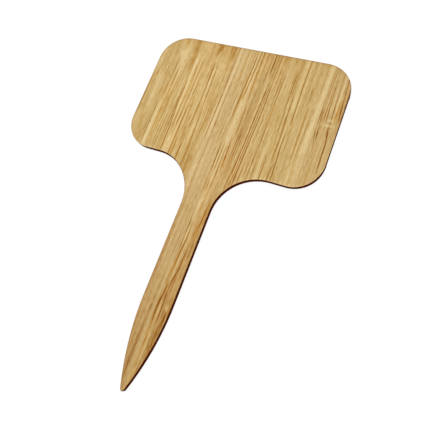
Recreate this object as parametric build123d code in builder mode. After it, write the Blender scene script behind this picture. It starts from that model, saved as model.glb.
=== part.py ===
from build123d import *
import math
import os

os.makedirs("parts", exist_ok=True)

# A flat plant label with a spike, cut in one outline from a thin board of bamboo strips
# that are glued edge to edge. It lies on its back face, with the head towards +Y.

# The board
board_thickness = 1.5
strip_width = 5.9
glue_thickness = 0.1
seam_shift = 0.1          # how far right of the label's centre line the middle glue line runs
arris_width = 0.12        # the sanded-off edge between the cut and each face

# The head, which the plant's name is written on
head_width = 60.0
head_height = 38.0
head_corner_radius = 8.5

# The stem and its point
stem_length = 63.2        # from the head's lower edge to the tip
stem_width = 8.8
shoulder_radius = 12.8    # the inside curve between the head and the stem
least_flat = 2.0          # straight edge left between that curve and the head's corner
point_length = 24.0       # the stretch over which the stem draws in to the tip
nose_radius = 0.6

# Places that follow from the sizes
total_length = head_height + stem_length
head_top = total_length / 2
head_bottom = head_top - head_height
tip = -total_length / 2
half_head = head_width / 2
half_stem = stem_width / 2
point_start = tip + point_length
shoulder_room = half_head - half_stem - head_corner_radius - least_flat

# The point's sides are arcs that leave the stem in line with it and meet the round nose
# without a corner: the distance between the two centres is the difference of the two radii.
nose_centre = tip + nose_radius
point_reach = point_start - nose_centre
side_radius = (half_stem**2 + point_reach**2 - nose_radius**2) / (2 * (half_stem - nose_radius))
side_centre = half_stem - side_radius
side_angle = math.degrees(math.atan2(point_reach, -side_centre))

# The glue lines lie one strip apart. An edge strip is at least half a strip wide.
strip_pitch = strip_width + glue_thickness
least_edge_strip = strip_pitch / 2
first_seam = math.ceil((least_edge_strip - half_head - seam_shift) / strip_pitch)
last_seam = math.floor((half_head - least_edge_strip - seam_shift) / strip_pitch)
seams = [seam_shift + place * strip_pitch for place in range(first_seam, last_seam + 1)]
outermost = half_head + strip_pitch
strip_sides = [-outermost] + seams + [outermost]
cut_length = total_length + strip_pitch


# The whole outline, as the laser cuts it
with BuildPart() as label_blank:
    with BuildSketch() as outline:
        with BuildLine() as right_half:
            Polyline(
                (0, head_top),
                (half_head, head_top),
                (half_head, head_bottom),
                (half_stem, head_bottom),
                (half_stem, point_start),
            )
            CenterArc((side_centre, point_start), side_radius, 0, -side_angle)
            CenterArc((0, nose_centre), nose_radius, -side_angle, side_angle - 90)
            mirror(about=Plane.YZ)
        make_face()
        shoulders = outline.vertices().group_by(Axis.Y)[-2].sort_by(Axis.X)[1:3]
        fillet(shoulders, radius=min(shoulder_radius, shoulder_room))
        corners = outline.vertices().group_by(Axis.X)
        fillet(corners[0] + corners[-1], radius=head_corner_radius)
    extrude(amount=board_thickness)
    rims = label_blank.edges().group_by(Axis.Z)
    chamfer(rims[0] + rims[-1], length=arris_width)


def counted_outwards(place):
    """Gives a strip's or glue line's name ending: its side, and its place out from the middle."""
    return f"left_{-place}" if place < 0 else f"right_{place}"


# The bamboo strips, from left to right, each the blank between two glue lines. There is no
# strip 0: left_1 and right_1 meet at the middle glue line and form the stem.
for seam_right, (left, right) in enumerate(zip(strip_sides[:-1], strip_sides[1:]), start=first_seam):
    strip_place = seam_right if seam_right > 0 else seam_right - 1
    with BuildPart() as bamboo_strip:
        add(label_blank.part)
        with BuildSketch():
            with Locations(((left + right) / 2, 0)):
                Rectangle(right - left - glue_thickness, cut_length)
        extrude(amount=board_thickness, mode=Mode.INTERSECT)
    bamboo_strip.part.label = f"bamboo_strip_{counted_outwards(strip_place)}"
    export_step(bamboo_strip.part, f"parts/{bamboo_strip.part.label}.step")


# The glue lines between them, cut off flush with the strips all round
for seam_place, seam in enumerate(seams, start=first_seam):
    with BuildPart() as glue_line:
        add(label_blank.part)
        with BuildSketch():
            with Locations((seam, 0)):
                Rectangle(glue_thickness, cut_length)
        extrude(amount=board_thickness, mode=Mode.INTERSECT)
    glue_line.part.label = f"glue_line_{counted_outwards(seam_place) if seam_place else 'middle'}"
    export_step(glue_line.part, f"parts/{glue_line.part.label}.step")
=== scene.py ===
import math

import bpy
import numpy as np
from mathutils import Matrix, Vector


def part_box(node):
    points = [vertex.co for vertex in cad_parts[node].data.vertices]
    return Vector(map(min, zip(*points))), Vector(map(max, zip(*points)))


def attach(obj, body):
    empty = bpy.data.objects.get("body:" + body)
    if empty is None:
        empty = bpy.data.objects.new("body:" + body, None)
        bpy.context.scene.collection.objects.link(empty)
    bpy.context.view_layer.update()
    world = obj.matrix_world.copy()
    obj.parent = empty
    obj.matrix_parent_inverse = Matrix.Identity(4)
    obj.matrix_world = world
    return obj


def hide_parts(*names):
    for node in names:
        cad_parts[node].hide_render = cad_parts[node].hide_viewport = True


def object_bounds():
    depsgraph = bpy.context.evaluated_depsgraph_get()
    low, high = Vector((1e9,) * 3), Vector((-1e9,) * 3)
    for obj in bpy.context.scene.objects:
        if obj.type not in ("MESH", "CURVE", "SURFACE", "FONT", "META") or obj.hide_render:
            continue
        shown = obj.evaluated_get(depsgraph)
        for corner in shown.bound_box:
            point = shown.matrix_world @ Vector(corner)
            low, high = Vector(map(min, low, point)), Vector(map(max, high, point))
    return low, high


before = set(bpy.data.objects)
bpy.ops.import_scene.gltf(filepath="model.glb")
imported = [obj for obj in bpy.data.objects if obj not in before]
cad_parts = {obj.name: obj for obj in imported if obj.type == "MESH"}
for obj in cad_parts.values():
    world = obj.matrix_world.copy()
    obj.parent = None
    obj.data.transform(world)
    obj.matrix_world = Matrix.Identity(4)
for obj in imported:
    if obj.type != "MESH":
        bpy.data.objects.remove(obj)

# A flat T-shaped plant label of edge-glued bamboo strips, cut out by laser. Meshes are worked
# out in millimetres, as distance across from the label's centre line and height above the
# head's lower edge, and are put into the frame in metres.

# Sizes of the label

MM = 0.001
cad_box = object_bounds()
label_low, label_high = (np.array(corner) / MM for corner in cad_box)
head_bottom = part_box("bamboo_strip_left_4")[0].y / MM
board_thickness = label_high[2]
half_head = label_high[0]
head_height = label_high[1] - head_bottom
stem_length = head_bottom - label_low[1]

HALF_STEM = 4.4
HEAD_CORNER = 8.5
SHOULDER = 12.8
POINT_LENGTH = 24.0
NOSE = 0.6
ARRIS = 0.12              # the rounded rim between the cut and each face

corner_across = half_head - HEAD_CORNER
corner_top = head_height - HEAD_CORNER
shoulder_across = HALF_STEM + SHOULDER
point_start = POINT_LENGTH - stem_length
nose_centre = NOSE - stem_length
point_reach = point_start - nose_centre
side_radius = (HALF_STEM**2 + point_reach**2 - NOSE**2) / (2 * (HALF_STEM - NOSE))
side_centre = HALF_STEM - side_radius
side_angle = math.atan2(point_reach, -side_centre)
nose_end = NOSE * math.cos(side_angle)
nose_top = nose_centre - NOSE * math.sin(side_angle)

# How finely the strips are meshed

ACROSS_STEP = 0.065
ALONG_STEP = 0.4
RIM_STEPS = np.array([0.0, 0.01, 0.03, 0.06, 0.09, 0.12, 0.15, 0.2, 0.3])
MOST_SLANT = 5.0          # the rim steps widen by up to this where the edge runs slantwise
RIM_SHARE = 0.4           # and take no more than this share of a narrow stretch
CORNER_TURN = math.radians(2.0)
NOSE_TURN = 6 * CORNER_TURN
LOWEST_REACH = 0.04       # how far past a strip's inner side its lowest line on the nose reaches
LEAST_STEP = 0.004
WALL_LEVELS = 5
SHARP_ANGLE = math.radians(40.0)


# The outline

def half_chord(radius, offset):
    """Half the chord of a circle that lies at an offset from its centre, and 0 outside it."""
    return np.sqrt(np.maximum(radius**2 - np.square(offset), 0.0))


def half_width_at(height):
    """Half the label's width: the nose's circle, the point's long side arc, the straight stem and
    the shoulder's circle, one above the other, then the head, whose corners are left out."""
    nose = half_chord(NOSE, height - nose_centre)
    point = side_centre + half_chord(side_radius, height - point_start)
    shoulder = shoulder_across - half_chord(SHOULDER, height + SHOULDER)
    places = [height < nose_top, height < point_start, height < -SHOULDER, height < 0]
    return np.select(places, [nose, point, HALF_STEM, shoulder], half_head)


def lower_edge_at(across):
    """Height of the label's lower edge: the nose's circle, the point's side arc, the shoulder's
    circle, the head's straight lower edge and its corner's circle, from the middle outwards."""
    out = np.abs(across)
    nose = nose_centre - half_chord(NOSE, out)
    point = point_start - half_chord(side_radius, out - side_centre)
    shoulder = half_chord(SHOULDER, shoulder_across - out) - SHOULDER
    corner = HEAD_CORNER - half_chord(HEAD_CORNER, out - corner_across)
    places = [out < nose_end, out < HALF_STEM, out < shoulder_across, out < corner_across]
    return np.select(places, [nose, point, shoulder, 0.0], corner)


def upper_edge_at(across):
    """Height of the head's upper edge: straight, then its corner's circle."""
    out = np.maximum(np.abs(across) - corner_across, 0.0)
    return corner_top + half_chord(HEAD_CORNER, out)


def distance_to_run(out, height, start, end):
    """Distance from each point to a straight run from start to end."""
    run = np.subtract(end, start)
    share = ((out - start[0]) * run[0] + (height - start[1]) * run[1]) / (run @ run)
    share = np.clip(share, 0.0, 1.0)
    return np.hypot(out - start[0] - share * run[0], height - start[1] - share * run[1])


def distance_to_arc(out, height, centre, radius, beside):
    """Distance from each point to a circle, where the point lies beside the circle's used arc."""
    away = np.abs(np.hypot(out - centre[0], height - centre[1]) - radius)
    return np.where(beside, away, np.inf)


def depth_inside(across, height):
    """How far inside the cut outline each point lies: the least of its distances to the arcs and
    straight runs of the outline's right half, with the left half mirrored onto it."""
    out = np.abs(across)
    past_corner = out >= corner_across
    below_point = height <= point_start
    turned_down = np.arctan2(nose_centre - height, out)
    return np.minimum.reduce([
        distance_to_run(out, height, (0.0, head_height), (corner_across, head_height)),
        distance_to_arc(out, height, (corner_across, corner_top), HEAD_CORNER,
                        past_corner & (height >= corner_top)),
        distance_to_run(out, height, (half_head, HEAD_CORNER), (half_head, corner_top)),
        distance_to_arc(out, height, (corner_across, HEAD_CORNER), HEAD_CORNER,
                        past_corner & (height <= HEAD_CORNER)),
        distance_to_run(out, height, (shoulder_across, 0.0), (corner_across, 0.0)),
        distance_to_arc(out, height, (shoulder_across, -SHOULDER), SHOULDER,
                        (out <= shoulder_across) & (height >= -SHOULDER)),
        distance_to_run(out, height, (HALF_STEM, point_start), (HALF_STEM, -SHOULDER)),
        distance_to_arc(out, height, (side_centre, point_start), side_radius,
                        below_point & (height >= nose_top)),
        distance_to_arc(out, height, (0.0, nose_centre), NOSE, turned_down >= side_angle),
    ])


def arris_drop(depth):
    """How far the rounded rim lies below its face: a quarter circle of the arris's radius."""
    return ARRIS - half_chord(ARRIS, ARRIS - np.minimum(depth, ARRIS))


# What the laser did beside its cut

# Its smoke blew towards the upper left and toasted the faces there, most along the top. Its beam
# leaned towards the lower right, and charred a little of the rim there. A way is across and up.
UP = (0.0, 1.0)
DOWN = (0.0, -1.0)
RIGHT = (1.0, 0.0)
SMOKE_WAY = (-0.8, 0.6)
SMOKE_SPREAD = 0.85
TOP_SMOKE = 0.35          # how much more smoke there is along the top than at the left
BEAM_WAY = (0.92, -0.4)
BEAM_SPREAD = 0.5
SQUARENESS = 4            # how narrowly a cut has to face a way to count as facing it squarely
CHAR_RANGE = (0.35, 1.0)  # from the first to the second, char reaches further onto the front
CHAR_FRONT = (0.01, 0.2)  # and how far it reaches there at the first and at the second
CHAR_BACK = 0.12          # how far the char reaches onto the back, all round

# Spots where the cut scorched more or less than its direction tells: the place across, the
# height, the spot's size, how much more smoke and how much more char
SCORCHES = [
    (-12.8, -0.9, 2.6, 0.0, 0.8),
    (-24.3, 0.8, 1.8, 0.0, -0.4),
    (28.0, 36.3, 2.5, 0.0, -0.4),
    (25.0, 1.0, 2.5, 0.0, -0.25),
    (-8.2, -4.5, 3.0, 0.35, 0.0),
    (-4.4, -33.0, 5.0, 0.35, 0.0),
]


def nearest_way_out(across, height, depth):
    """The way out at each place's nearest cut, across and up, which is against the depth's slope.
    The grid's own steps give that slope, whichever way its lines run."""
    (across_1, across_2), (height_1, height_2) = np.gradient(across), np.gradient(height)
    depth_1, depth_2 = np.gradient(depth)
    cell = across_1 * height_2 - across_2 * height_1
    out_across = (depth_2 * height_1 - depth_1 * height_2) / cell
    out_height = (depth_1 * across_2 - depth_2 * across_1) / cell
    return out_across, out_height


def turned_to(way_out, way):
    """The cosine between the way that a cut faces and a given way."""
    return np.clip(way_out[0] * way[0] + way_out[1] * way[1], -1.0, 1.0)


def broadly_facing(way_out, way, spread):
    """How far a cut faces a given way, from 0 to 1: one more than the cosine between them, times
    the spread."""
    return np.clip(spread * (1.0 + turned_to(way_out, way)), 0.0, 1.0)


def squarely_facing(way_out, way):
    """How squarely a cut faces a given way, from 0 to 1: a power of the cosine between them."""
    return np.maximum(turned_to(way_out, way), 0.0)**SQUARENESS


def scorching(across, height, way_out):
    """How smoked and how charred the label is beside each place's nearest cut: by the way that the
    cut faces, more along the top, and more or less in the scorched spots, each a round bell."""
    smoke = broadly_facing(way_out, SMOKE_WAY, SMOKE_SPREAD)
    smoke = smoke * (1.0 + TOP_SMOKE * np.maximum(turned_to(way_out, UP), 0.0))
    char = broadly_facing(way_out, BEAM_WAY, BEAM_SPREAD)
    for spot_across, spot_height, size, more_smoke, more_char in SCORCHES:
        away = np.hypot(across - spot_across, height - spot_height)
        bell = np.exp(-0.5 * np.square(away / size))
        smoke = smoke + more_smoke * bell
        char = char + more_char * bell
    return smoke, char


def beside_the_cut(across, height):
    """Each place's depth inside the outline, the way out at its nearest cut, how smoked it is, and
    whether it is charred on the front and on the back."""
    depth = depth_inside(across, height)
    way_out = nearest_way_out(across, height, depth)
    smoke, char = scorching(across, height, way_out)
    char_front = np.interp(char, CHAR_RANGE, CHAR_FRONT)
    charred = (depth < char_front + LEAST_STEP, depth < CHAR_BACK + LEAST_STEP)
    return depth, way_out, smoke, charred


# The bamboo's growth streaks, as the label's front shows them

# Each ink is how much darker it makes the bamboo, how much warmer and how much rosier. 1 is the
# darkness of a strong fibre line.
INKS = {
    "dark": (1.5, 0.5, 0.0),
    "brown": (1.2, 0.5, 0.0),
    "gold": (0.75, 1.4, 0.0),
    "olive": (0.9, -0.6, 0.0),
    "cream": (-1.0, -0.2, 0.0),
    "rose": (0.0, 0.0, 1.0),
}

# Each streak is its ink, its strength, its width, and the points that its middle runs through,
# each a place across the label and a height above the head's lower edge, in millimetres. A strip's
# broad tones come first, then its lines, both from the top down.
STREAKS = {
    "left_5": [
        ("brown", 0.15, 4.0, (-26.5, 31), (-26.5, 48)),
        ("cream", 0.35, 1.6, (-29.2, 24), (-29.2, 32)),
        ("cream", 0.7, 1.5, (-26.9, 9), (-26.9, 27)),
        ("cream", 0.35, 1.6, (-28.9, 5), (-28.9, 12)),
        ("brown", 0.35, 2.6, (-25.5, -4), (-25.5, 8)),
        ("olive", 0.4, 0.8, (-25.0, 28), (-25.2, 38)),
        ("brown", 0.4, 0.5, (-26.8, 26), (-26.9, 36)),
        ("brown", 0.5, 0.5, (-27.9, 24), (-27.9, 35)),
        ("cream", 0.4, 0.4, (-28.7, 25), (-28.7, 34)),
        ("cream", 0.4, 0.35, (-26.0, 23), (-26.0, 32)),
        ("brown", 0.6, 0.35, (-26.4, 21), (-26.4, 30)),
        ("brown", 0.8, 0.4, (-25.6, 21), (-25.6, 30)),
        ("cream", 0.5, 0.5, (-27.7, 20), (-27.7, 28)),
        ("brown", 0.4, 0.5, (-25.0, 16), (-25.0, 28)),
        ("gold", 0.7, 0.5, (-28.6, 19), (-28.5, 27)),
        ("brown", 1.0, 0.4, (-29.6, 8), (-29.55, 26)),
        ("cream", 0.4, 0.35, (-24.3, 11), (-24.25, 25)),
        ("gold", 0.6, 0.4, (-24.6, 13), (-24.6, 23)),
        ("cream", 0.5, 0.5, (-29.1, 11), (-29.0, 21)),
        ("gold", 0.6, 0.7, (-25.4, 13), (-25.4, 21)),
        ("brown", 0.5, 0.4, (-28.2, 9), (-28.4, 20)),
        ("olive", 1.0, 0.5, (-24.1, 0), (-24.15, 17)),
        ("gold", 0.9, 0.45, (-26.7, 3), (-26.6, 12)),
        ("dark", 0.6, 0.35, (-24.9, 2), (-24.8, 11)),
    ],
    "left_4": [
        ("brown", 0.6, 2.4, (-22.6, 32), (-22.6, 48)),
        ("brown", 0.4, 3.0, (-22.0, 32), (-22.0, 48)),
        ("brown", 0.2, 2.5, (-19.5, 32), (-19.5, 48)),
        ("brown", 0.5, 2.6, (-19.0, 25), (-18.9, 43)),
        ("cream", 0.8, 3.4, (-22.2, 27), (-22.2, 42)),
        ("gold", 0.25, 1.2, (-18.7, 26), (-18.6, 42)),
        ("cream", 0.35, 2.4, (-22.5, 24.5), (-22.5, 31)),
        ("gold", 0.45, 1.8, (-21.8, 4), (-21.6, 26)),
        ("cream", 0.35, 2.4, (-22.5, 16), (-22.5, 23.5)),
        ("cream", 1.0, 1.3, (-23.2, -6), (-23.35, 19)),
        ("gold", 0.6, 0.8, (-22.9, 35), (-22.9, 41)),
        ("cream", 0.4, 0.8, (-23.6, 28), (-23.6, 40)),
        ("cream", 0.4, 0.4, (-19.7, 26), (-19.7, 36)),
        ("brown", 0.45, 0.4, (-18.4, 23), (-18.3, 35)),
        ("dark", 1.1, 0.4, (-23.3, 24), (-23.2, 32)),
        ("cream", 0.6, 0.4, (-20.8, 22), (-20.8, 32)),
        ("brown", 0.45, 0.35, (-20.4, 18), (-20.3, 32)),
        ("cream", 0.8, 0.35, (-22.75, 18), (-22.7, 31)),
        ("brown", 1.1, 0.35, (-22.2, 16), (-22.1, 30)),
        ("cream", 1.1, 0.5, (-21.6, 16), (-21.55, 30)),
        ("brown", 0.5, 0.6, (-23.3, 16), (-23.3, 28)),
        ("brown", 0.5, 0.35, (-21.25, 12), (-21.2, 26)),
        ("cream", 0.5, 0.6, (-18.9, 14), (-18.9, 26)),
        ("gold", 0.7, 0.7, (-23.3, 10), (-23.3, 24)),
        ("brown", 0.6, 0.35, (-19.4, 11), (-19.4, 23)),
        ("brown", 0.6, 0.35, (-20.8, 9), (-20.7, 22)),
        ("gold", 0.8, 0.4, (-22.25, 9), (-22.2, 21)),
        ("brown", 0.8, 0.35, (-18.15, 11), (-18.1, 21)),
        ("brown", 0.55, 0.3, (-21.1, -4), (-21.0, 17)),
        ("brown", 0.6, 0.35, (-18.6, 2), (-18.6, 16)),
        ("cream", 0.6, 0.35, (-19.8, 1), (-19.8, 15)),
        ("gold", 0.9, 0.4, (-22.15, -5), (-22.2, 14)),
        ("cream", 0.5, 0.3, (-18.95, 0), (-18.9, 14)),
        ("cream", 0.6, 0.3, (-21.4, 1), (-21.35, 13)),
        ("cream", 0.6, 0.3, (-20.7, 0), (-20.6, 13)),
        ("brown", 0.8, 0.35, (-20.25, -2), (-20.2, 13)),
        ("dark", 0.7, 0.35, (-19.4, 5), (-19.4, 13)),
        ("cream", 0.6, 0.3, (-21.9, 0), (-21.9, 12)),
        ("gold", 0.7, 0.3, (-21.65, 0), (-21.65, 11)),
        ("brown", 0.7, 0.35, (-19.45, -4), (-19.4, 10)),
    ],
    "left_3": [
        ("brown", 0.13, 2.5, (-13.4, 10), (-13.4, 44)),
        ("cream", 0.6, 1.4, (-15.6, -4), (-15.6, 8)),
        ("dark", 0.8, 0.7, (-12.15, 31), (-12.15, 44)),
        ("gold", 0.5, 0.6, (-17.2, 31), (-17.1, 42)),
        ("olive", 0.4, 0.6, (-13.4, 29), (-13.4, 38)),
        ("cream", 0.6, 0.5, (-17.1, 25), (-17.3, 36)),
        ("brown", 0.4, 0.4, (-14.6, 26), (-14.6, 36)),
        ("cream", 0.9, 0.35, (-15.75, 21), (-15.9, 35)),
        ("cream", 1.2, 0.6, (-16.9, 9), (-17.1, 20), (-17.6, 34)),
        ("brown", 1.4, 0.4, (-15.15, 17), (-15.3, 34)),
        ("brown", 0.9, 0.35, (-12.05, 22), (-12.1, 33)),
        ("dark", 0.9, 0.4, (-16.25, 22), (-16.5, 31)),
        ("cream", 0.9, 0.35, (-14.75, 11), (-14.8, 29)),
        ("brown", 0.8, 0.35, (-14.1, 16), (-14.15, 28)),
        ("gold", 0.7, 0.5, (-16.1, 14), (-16.1, 26)),
        ("dark", 1.2, 0.35, (-17.75, 7), (-17.8, 25)),
        ("brown", 1.0, 0.4, (-15.35, 6), (-15.15, 23)),
        ("cream", 0.9, 0.3, (-13.65, 7), (-13.7, 23)),
        ("brown", 0.8, 0.3, (-13.4, 12), (-13.5, 23)),
        ("dark", 1.1, 0.35, (-12.85, 5), (-13.2, 20)),
        ("brown", 0.9, 0.35, (-16.4, 7), (-16.5, 19)),
        ("cream", 0.9, 0.3, (-15.8, 6), (-15.85, 19)),
        ("dark", 1.1, 0.4, (-14.2, 5), (-14.1, 18)),
        ("cream", 0.8, 0.3, (-12.6, 4), (-12.7, 17)),
        ("dark", 1.6, 0.35, (-16.95, -6), (-17.1, 7), (-17.4, 16)),
        ("cream", 1.0, 0.35, (-14.7, -1), (-14.75, 15)),
        ("dark", 1.1, 0.28, (-12.35, 2), (-12.45, 15)),
        ("dark", 1.0, 0.28, (-12.0, 1), (-12.05, 15)),
        ("cream", 0.7, 0.25, (-17.35, -3), (-17.45, 14)),
        ("gold", 0.8, 0.4, (-15.4, 7), (-15.4, 14)),
        ("brown", 0.9, 0.35, (-17.6, -4), (-17.75, 13)),
        ("brown", 0.6, 0.35, (-16.2, 5), (-16.2, 13)),
        ("gold", 0.6, 0.5, (-14.1, -4), (-14.15, 12)),
        ("brown", 0.9, 0.35, (-14.1, -6), (-14.15, 10)),
        ("dark", 1.2, 0.35, (-13.3, -4), (-13.35, 8)),
    ],
    "left_2": [
        ("brown", 0.3, 3.0, (-10.5, 32), (-10.5, 48)),
        ("brown", 0.15, 2.5, (-7.5, 32), (-7.5, 48)),
        ("brown", 0.5, 2.4, (-6.9, 30), (-6.9, 45)),
        ("dark", 0.9, 1.2, (-11.5, 31), (-11.5, 44)),
        ("cream", 0.4, 1.6, (-8.9, 24), (-8.9, 36)),
        ("cream", 0.25, 2.4, (-10.5, 21), (-10.5, 31)),
        ("brown", 0.12, 1.7, (-7.5, 6), (-7.3, 22)),
        ("cream", 0.4, 2.6, (-8.0, 7), (-8.2, 20)),
        ("olive", 0.5, 1.4, (-7.7, -8), (-7.7, 9)),
        ("brown", 0.45, 1.4, (-6.7, -5), (-6.7, 4)),
        ("gold", 0.7, 0.5, (-10.7, 34), (-10.7, 42)),
        ("brown", 0.5, 0.4, (-9.9, 32), (-9.9, 42)),
        ("dark", 0.6, 0.4, (-7.85, 33), (-7.85, 42)),
        ("dark", 0.6, 0.5, (-6.6, 32), (-6.8, 41)),
        ("cream", 0.7, 0.9, (-11.2, 30), (-11.2, 36.5)),
        ("cream", 0.6, 0.3, (-6.55, 21), (-6.4, 34)),
        ("brown", 0.9, 0.3, (-11.7, 22), (-11.75, 33)),
        ("dark", 1.6, 0.35, (-11.1, 22), (-11.4, 33)),
        ("cream", 1.2, 0.4, (-10.4, 16), (-10.75, 33)),
        ("brown", 0.9, 0.35, (-7.15, 20), (-6.8, 33)),
        ("dark", 1.3, 0.35, (-9.7, 17), (-10.15, 32)),
        ("cream", 0.9, 0.3, (-11.65, 7), (-11.6, 31)),
        ("cream", 0.8, 0.35, (-9.25, 14), (-9.6, 31)),
        ("cream", 0.8, 0.35, (-7.4, 19), (-7.35, 31)),
        ("brown", 0.6, 0.35, (-8.1, 18), (-8.1, 28)),
        ("brown", 0.8, 0.4, (-11.2, 7), (-10.95, 19), (-11.0, 27)),
        ("gold", 1.1, 0.4, (-9.6, 11), (-9.75, 23)),
        ("dark", 0.6, 0.35, (-6.6, 18), (-6.6, 23)),
        ("brown", 0.9, 0.35, (-8.15, 7), (-8.0, 21)),
        ("cream", 0.6, 0.25, (-7.8, 7), (-7.7, 21)),
        ("dark", 0.9, 0.3, (-7.6, 5), (-7.35, 21)),
        ("dark", 0.9, 0.28, (-6.95, 8), (-6.85, 21)),
        ("brown", 0.7, 0.35, (-6.5, 9), (-6.4, 21)),
        ("cream", 0.6, 0.25, (-7.1, 8), (-7.0, 20)),
        ("dark", 1.1, 0.35, (-9.0, -5), (-9.1, 8), (-9.35, 16)),
        ("cream", 0.7, 0.3, (-8.75, 3), (-8.85, 15)),
        ("cream", 0.8, 0.9, (-10.0, 3), (-10.0, 14)),
        ("brown", 0.7, 0.3, (-11.6, 3), (-11.5, 12)),
        ("cream", 0.5, 0.5, (-6.4, -2), (-6.4, 10)),
        ("gold", 0.6, 0.5, (-11.4, -5), (-11.3, 9)),
        ("cream", 0.5, 0.35, (-10.9, -4), (-10.9, 9)),
        ("brown", 1.1, 0.5, (-11.35, -6), (-11.35, 7)),
        ("brown", 0.9, 0.35, (-8.55, -5), (-8.6, 7)),
        ("brown", 0.6, 0.35, (-7.9, -6), (-7.8, 5)),
        ("brown", 0.9, 0.35, (-7.35, -7), (-7.45, 2)),
    ],
    "left_1": [
        ("brown", 0.15, 3.0, (-4.5, 33), (-4.5, 48)),
        ("cream", 0.25, 1.6, (-5.3, -2), (-5.3, 22)),
        ("cream", 0.25, 1.8, (-4.2, -46), (-4.2, 20)),
        ("rose", 0.5, 6.0, (-3.0, -72), (-3.0, 14)),
        ("olive", 0.2, 2.4, (-2.0, -66), (-1.8, -34)),
        ("brown", 0.15, 2.0, (-1.0, -66), (-1.2, -48)),
        ("cream", 1.0, 0.7, (-4.6, 7), (-4.7, 43)),
        ("brown", 1.0, 0.45, (-5.4, 23), (-5.5, 42)),
        ("cream", 0.6, 0.5, (-3.2, 25), (-3.2, 42)),
        ("gold", 0.9, 0.5, (-2.1, 21), (-2.2, 40)),
        ("brown", 0.4, 0.3, (-0.8, 24), (-0.8, 39)),
        ("brown", 0.6, 0.3, (-0.25, 22), (-0.2, 39)),
        ("cream", 0.4, 0.4, (-1.6, 25), (-1.6, 38)),
        ("brown", 0.9, 0.35, (-3.85, 15), (-4.0, 30)),
        ("dark", 0.5, 0.35, (-5.45, 22), (-5.5, 29)),
        ("brown", 0.8, 0.4, (-5.2, 5), (-5.3, 26)),
        ("brown", 0.4, 0.4, (-1.0, 13), (-1.0, 26)),
        ("gold", 0.9, 0.45, (-5.15, 5), (-5.3, 25)),
        ("cream", 0.8, 0.3, (-5.65, 5), (-5.65, 23)),
        ("cream", 0.6, 0.3, (-3.5, 11), (-3.5, 22)),
        ("dark", 1.2, 0.35, (-3.8, 9.5), (-3.85, 18)),
        ("brown", 0.3, 0.4, (-2.1, 4), (-2.1, 18)),
        ("brown", 0.8, 0.35, (-1.2, 5), (-1.15, 16)),
        ("cream", 0.4, 0.35, (-0.8, 4), (-0.75, 16)),
        ("brown", 0.8, 0.35, (-0.35, 5), (-0.35, 15)),
        ("brown", 0.8, 0.55, (-3.85, -12), (-3.8, 14)),
        ("brown", 0.6, 0.35, (-5.45, 1), (-5.4, 10)),
        ("cream", 0.4, 0.5, (-3.1, -12), (-3.0, 9)),
        ("cream", 0.6, 0.6, (-4.6, -10), (-4.7, 2)),
        ("brown", 0.35, 0.8, (-3.75, -54), (-3.8, -6)),
        ("brown", 0.35, 0.3, (-3.45, -40), (-3.45, -9)),
        ("brown", 0.4, 0.35, (-1.9, -18), (-1.9, -11)),
        ("brown", 0.5, 0.35, (-1.1, -20), (-1.1, -11)),
        ("brown", 0.3, 0.3, (-3.9, -44), (-3.95, -12)),
        ("cream", 0.4, 0.7, (-2.9, -34), (-2.9, -12)),
        ("brown", 0.5, 0.6, (-1.2, -29), (-1.0, -17)),
        ("cream", 0.3, 0.5, (-0.4, -40), (-0.4, -24)),
        ("brown", 0.3, 0.5, (-1.2, -47), (-1.15, -28)),
        ("brown", 0.7, 0.8, (-1.1, -61), (-1.35, -51), (-1.25, -43)),
        ("cream", 0.35, 0.5, (-0.2, -59), (-0.25, -44)),
        ("brown", 0.25, 0.6, (-0.8, -66), (-1.5, -53)),
    ],
    "right_1": [
        ("brown", 0.35, 2.6, (4.6, 33), (4.6, 46)),
        ("olive", 0.4, 2.4, (4.8, 6), (4.8, 35)),
        ("cream", 0.25, 1.8, (1.5, 18), (1.5, 33)),
        ("cream", 0.3, 2.4, (1.6, 21), (1.6, 31)),
        ("cream", 0.7, 2.6, (1.4, 4), (1.6, 24)),
        ("brown", 0.2, 2.2, (4.8, 3), (4.9, 22)),
        ("rose", 0.8, 3.6, (1.8, -48), (3.6, 16)),
        ("brown", 0.45, 2.4, (4.4, -4), (4.4, 8)),
        ("cream", 0.5, 2.2, (1.3, -14), (1.3, 7)),
        ("brown", 0.35, 2.0, (4.2, -13), (4.2, -5.5)),
        ("brown", 0.4, 2.4, (3.2, -64), (3.2, -14)),
        ("cream", 0.3, 1.8, (1.5, -24), (1.5, -16)),
        ("cream", 0.45, 1.4, (3.0, -39.5), (3.0, -32)),
        ("cream", 0.2, 2.0, (1.0, -67), (1.2, -44)),
        ("cream", 0.3, 1.2, (0.8, -64), (0.8, -56)),
        ("dark", 1.1, 0.35, (1.2, 20), (1.45, 28), (1.65, 43)),
        ("brown", 0.7, 0.4, (2.7, 21), (2.6, 32), (2.45, 43)),
        ("gold", 1.0, 0.45, (2.75, 21), (2.65, 32), (2.45, 43)),
        ("brown", 0.4, 0.4, (3.9, 29), (3.9, 43)),
        ("cream", 0.4, 0.4, (3.4, 28), (3.4, 42)),
        ("gold", 1.0, 0.45, (3.9, 27), (3.9, 42)),
        ("cream", 0.9, 0.3, (1.8, 18), (2.1, 41)),
        ("cream", 0.8, 0.35, (0.85, 24), (1.05, 40)),
        ("dark", 1.4, 0.35, (0.5, 25), (0.6, 31), (0.65, 39)),
        ("brown", 0.8, 0.35, (5.3, 27), (5.45, 39)),
        ("cream", 0.5, 0.3, (0.1, 23), (0.15, 33)),
        ("brown", 1.05, 0.55, (0.1, 12), (0.25, 18), (0.4, 24), (0.5, 31)),
        ("gold", 1.2, 0.35, (1.1, 18), (1.25, 24), (1.45, 31)),
        ("brown", 0.7, 0.35, (2.85, 18), (2.75, 28)),
        ("olive", 0.5, 0.4, (4.3, 14), (4.4, 28)),
        ("gold", 0.8, 0.4, (0.2, 14), (0.45, 25)),
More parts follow.
